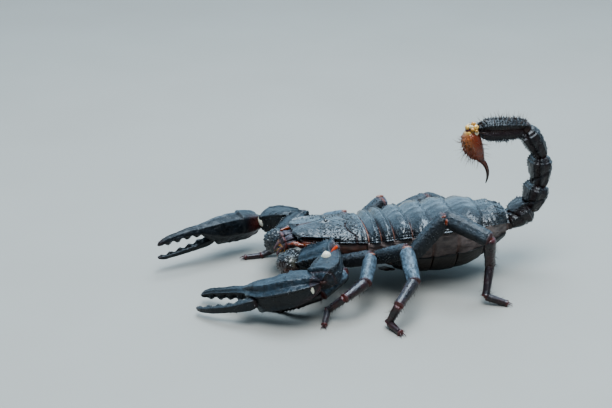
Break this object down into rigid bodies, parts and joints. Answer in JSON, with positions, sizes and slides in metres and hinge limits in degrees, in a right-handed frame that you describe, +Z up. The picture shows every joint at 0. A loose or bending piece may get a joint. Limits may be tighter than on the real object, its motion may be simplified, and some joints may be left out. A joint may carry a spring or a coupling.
{
  "type": "scorpion model",
  "caption": "Life-size model of a black forest scorpion standing with its claws held forward and its tail curled over its back.",
  "frame": {"origin": "on the floor plane, under the centre of the model's bounding box", "axes": "+Z up, head and claws towards -Y, the animal's left side towards +X"},
  "size_m": [0.0654, 0.0898, 0.0364],
  "materials": {
    "black_cuticle": "glossy blue-black shell with granular rims",
    "brown_cuticle": "dark red-brown shell",
    "soft_skin": "grey-brown wrinkled skin",
    "amber_cuticle": "orange-brown translucent-looking shell",
    "sting": "smooth dark brown",
    "eye": "polished black"
  },
  "bodies": {
    "root": {"carapace": "black_cuticle", "coxosternum": "brown_cuticle", "median_eye_left": "eye", "chelicera_left": "brown_cuticle", "median_eye_right": "eye", "chelicera_right": "brown_cuticle", "tergite_1": "black_cuticle", "tergite_2": "black_cuticle", "tergite_3": "black_cuticle", "tergite_4": "black_cuticle", "tergite_5": "black_cuticle", "tergite_6": "black_cuticle", "tergite_7": "black_cuticle", "abdomen": "soft_skin", "sternites": "brown_cuticle", "pecten_left": "brown_cuticle", "pecten_right": "brown_cuticle", "tail_segment_1": "black_cuticle", "tail_segment_2": "black_cuticle", "tail_segment_3": "black_cuticle", "tail_segment_4": "black_cuticle", "tail_segment_5": "black_cuticle", "telson_vesicle": "amber_cuticle", "telson_sting": "sting", "pedipalp_left_trochanter": "black_cuticle", "pedipalp_left_femur": "black_cuticle", "pedipalp_left_patella": "black_cuticle", "pedipalp_left_hand": "black_cuticle", "pedipalp_left_movable_finger": "black_cuticle", "leg_left_1_femur": "black_cuticle", "leg_left_1_patella": "black_cuticle", "leg_left_1_foot": "brown_cuticle", "leg_left_2_femur": "black_cuticle", "leg_left_2_patella": "black_cuticle", "leg_left_2_foot": "brown_cuticle", "leg_left_3_femur": "black_cuticle", "leg_left_3_patella": "black_cuticle", "leg_left_3_foot": "brown_cuticle", "leg_left_4_femur": "black_cuticle", "leg_left_4_patella": "black_cuticle", "leg_left_4_foot": "brown_cuticle", "pedipalp_right_trochanter": "black_cuticle", "pedipalp_right_femur": "black_cuticle", "pedipalp_right_patella": "black_cuticle", "pedipalp_right_hand": "black_cuticle", "pedipalp_right_movable_finger": "black_cuticle", "leg_right_1_femur": "black_cuticle", "leg_right_1_patella": "black_cuticle", "leg_right_1_foot": "brown_cuticle", "leg_right_2_femur": "black_cuticle", "leg_right_2_patella": "black_cuticle", "leg_right_2_foot": "brown_cuticle", "leg_right_3_femur": "black_cuticle", "leg_right_3_patella": "black_cuticle", "leg_right_3_foot": "brown_cuticle", "leg_right_4_femur": "black_cuticle", "leg_right_4_patella": "black_cuticle", "leg_right_4_foot": "brown_cuticle"}
  },
  "joints": []
}
